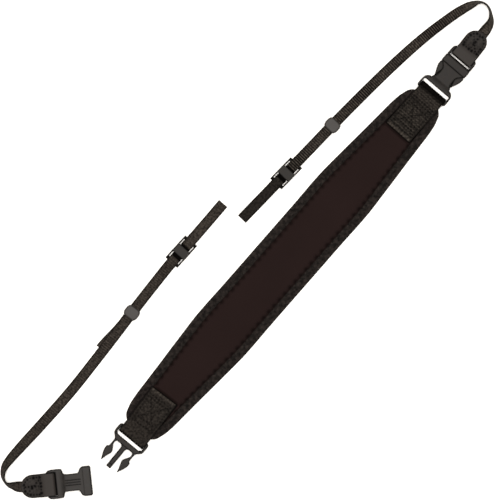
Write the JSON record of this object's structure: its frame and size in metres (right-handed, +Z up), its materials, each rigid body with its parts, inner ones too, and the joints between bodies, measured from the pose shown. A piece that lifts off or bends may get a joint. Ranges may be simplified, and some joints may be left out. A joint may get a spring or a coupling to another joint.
{
  "type": "camera neck strap",
  "caption": "Padded camera neck strap laid out flat: bound neoprene pad, side-release buckles, leather tabs and narrow adjustable connector webbing, one connector unclipped beside it.",
  "frame": {"origin": "middle of the neck pad's underside, on the surface the strap lies on", "axes": "+X along the pad towards the fastened buckle, +Z up from the surface, +Y across the pad towards the narrow webbings"},
  "size_m": [0.5966, 0.1095, 0.0097],
  "materials": {
    "neoprene": "smooth knit-faced neoprene foam, matt",
    "binding_fabric": "folded stretch binding, matt",
    "webbing": "woven nylon with cross ribs, slightly glossy",
    "leather": "black grained leather, semi-matt",
    "buckle_plastic": "moulded acetal, fine spark finish",
    "keeper_plastic": "moulded flexible plastic, satin"
  },
  "bodies": {
    "root": {"neck_pad": "neoprene", "edge_binding": "binding_fabric", "webbing_tab_fastened": "webbing", "webbing_tab_open": "webbing", "pad_socket": "buckle_plastic", "connector_plug": "buckle_plastic", "pad_plug": "buckle_plastic", "connector_socket": "buckle_plastic", "leather_tab_fastened": "leather", "leather_tab_loose": "leather", "connector_strap_fastened": "webbing", "connector_strap_loose": "webbing", "strap_keeper_fastened": "keeper_plastic", "strap_keeper_loose": "keeper_plastic", "strap_slider_fastened": "buckle_plastic", "strap_slider_loose": "buckle_plastic"}
  },
  "joints": []
}
